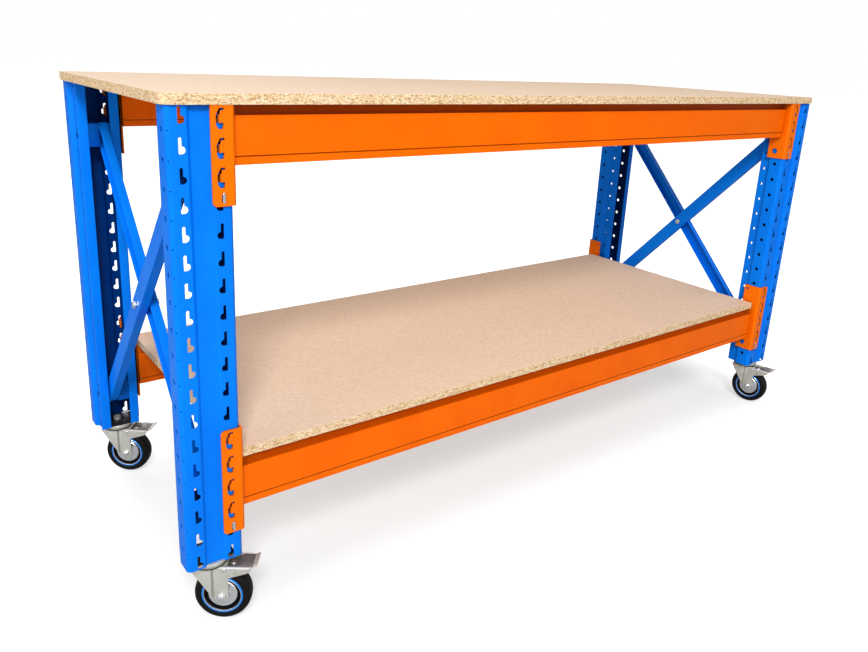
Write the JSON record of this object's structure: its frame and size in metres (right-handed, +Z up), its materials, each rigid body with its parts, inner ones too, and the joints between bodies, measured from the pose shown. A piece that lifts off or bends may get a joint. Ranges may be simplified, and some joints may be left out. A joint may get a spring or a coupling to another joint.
{
  "type": "workbench",
  "caption": "Mobile workbench of pallet racking: perforated blue uprights, orange hooked beams, chipboard top and lower shelf, crossed end braces and braked swivel casters.",
  "frame": {"origin": "on the floor under the middle of the bounding box, casters turned as in the rest pose", "axes": "+Z up, +X along the bench to its right, -Y toward its front"},
  "size_m": [2.0872, 0.81, 1.0443],
  "materials": {
    "blue_paint": "smooth powder coat",
    "orange_paint": "smooth powder coat",
    "chipboard": "raw pressed chipboard",
    "zinc": "zinc plated",
    "dark_steel": "black painted sheet",
    "pedal_steel": "dark passivated sheet",
    "rubber": "matte black rubber"
  },
  "bodies": {
    "bench": {"upright_front_left": "blue_paint", "upright_front_right": "blue_paint", "upright_back_left": "blue_paint", "upright_back_right": "blue_paint", "beam_top_front": "orange_paint", "beam_bottom_front": "orange_paint", "beam_top_back": "orange_paint", "beam_bottom_back": "orange_paint", "safety_clip_top_front_left": "zinc", "safety_clip_top_front_right": "zinc", "safety_clip_top_back_left": "zinc", "safety_clip_top_back_right": "zinc", "safety_clip_bottom_front_left": "zinc", "safety_clip_bottom_front_right": "zinc", "safety_clip_bottom_back_left": "zinc", "safety_clip_bottom_back_right": "zinc", "brace_left_outer": "blue_paint", "brace_left_inner": "blue_paint", "brace_centre_bolt_left": "zinc", "brace_right_outer": "blue_paint", "brace_right_inner": "blue_paint", "brace_centre_bolt_right": "zinc", "brace_fixing_front_left_top": "zinc", "brace_fixing_front_left_bottom": "zinc", "brace_fixing_front_right_top": "zinc", "brace_fixing_front_right_bottom": "zinc", "brace_fixing_back_left_top": "zinc", "brace_fixing_back_left_bottom": "zinc", "brace_fixing_back_right_top": "zinc", "brace_fixing_back_right_bottom": "zinc", "worktop": "chipboard", "lower_shelf": "chipboard", "foot_bracket_front_left": "dark_steel", "caster_head_front_left": "zinc", "foot_bracket_front_right": "dark_steel", "caster_head_front_right": "zinc", "foot_bracket_back_left": "dark_steel", "caster_head_back_left": "zinc", "foot_bracket_back_right": "dark_steel", "caster_head_back_right": "zinc"},
    "caster_front_left": {"caster_fork_front_left": "zinc", "caster_axle_front_left": "zinc"},
    "wheel_front_left": {"caster_rim_front_left": "zinc", "caster_tyre_front_left": "rubber"},
    "pedal_front_left": {"brake_pedal_front_left": "pedal_steel"},
    "caster_front_right": {"caster_fork_front_right": "zinc", "caster_axle_front_right": "zinc"},
    "wheel_front_right": {"caster_rim_front_right": "zinc", "caster_tyre_front_right": "rubber"},
    "pedal_front_right": {"brake_pedal_front_right": "pedal_steel"},
    "caster_back_left": {"caster_fork_back_left": "zinc", "caster_axle_back_left": "zinc"},
    "wheel_back_left": {"caster_rim_back_left": "zinc", "caster_tyre_back_left": "rubber"},
    "pedal_back_left": {"brake_pedal_back_left": "pedal_steel"},
    "caster_back_right": {"caster_fork_back_right": "zinc", "caster_axle_back_right": "zinc"},
    "wheel_back_right": {"caster_rim_back_right": "zinc", "caster_tyre_back_right": "rubber"},
    "pedal_back_right": {"brake_pedal_back_right": "pedal_steel"}
  },
  "joints": [
    {"name": "swivel_front_left", "type": "hinge", "parent": "bench", "child": "caster_front_left", "pos_m": [-0.9796, -0.30232, 0.13], "axis": [0, 0, 1], "continuous": true},
    {"name": "wheel_spin_front_left", "type": "hinge", "parent": "caster_front_left", "child": "wheel_front_left", "pos_m": [-0.95695, -0.31878, 0.0575], "axis": [0.5878, 0.809, 0], "continuous": true},
    {"name": "brake_front_left", "type": "hinge", "parent": "caster_front_left", "child": "pedal_front_left", "pos_m": [-0.95209, -0.3223, 0.1195], "axis": [0.5878, 0.809, 0], "range_deg": [0, 12]},
    {"name": "swivel_front_right", "type": "hinge", "parent": "bench", "child": "caster_front_right", "pos_m": [0.9544, -0.30232, 0.13], "axis": [0, 0, 1], "continuous": true},
    {"name": "wheel_spin_front_right", "type": "hinge", "parent": "caster_front_right", "child": "wheel_front_right", "pos_m": [0.95926, -0.32989, 0.0575], "axis": [0.9848, 0.1736, 0], "continuous": true},
    {"name": "brake_front_right", "type": "hinge", "parent": "caster_front_right", "child": "pedal_front_right", "pos_m": [0.9603, -0.3358, 0.1195], "axis": [0.9848, 0.1736, 0], "range_deg": [0, 12]},
    {"name": "swivel_back_left", "type": "hinge", "parent": "bench", "child": "caster_back_left", "pos_m": [-0.9796, 0.35968, 0.13], "axis": [0, 0, 1], "continuous": true},
    {"name": "wheel_spin_back_left", "type": "hinge", "parent": "caster_back_left", "child": "wheel_back_left", "pos_m": [-0.95815, 0.34168, 0.0575], "axis": [0.6428, 0.766, 0], "continuous": true},
    {"name": "brake_back_left", "type": "hinge", "parent": "caster_back_left", "child": "pedal_back_left", "pos_m": [-0.95355, 0.33783, 0.1195], "axis": [0.6428, 0.766, 0], "range_deg": [0, 12]},
    {"name": "swivel_back_right", "type": "hinge", "parent": "bench", "child": "caster_back_right", "pos_m": [0.9544, 0.35968, 0.13], "axis": [0, 0, 1], "continuous": true},
    {"name": "wheel_spin_back_right", "type": "hinge", "parent": "caster_back_right", "child": "wheel_back_right", "pos_m": [0.97585, 0.34168, 0.0575], "axis": [0.6428, 0.766, 0], "continuous": true},
    {"name": "brake_back_right", "type": "hinge", "parent": "caster_back_right", "child": "pedal_back_right", "pos_m": [0.98045, 0.33783, 0.1195], "axis": [0.6428, 0.766, 0], "range_deg": [0, 12]}
  ]
}
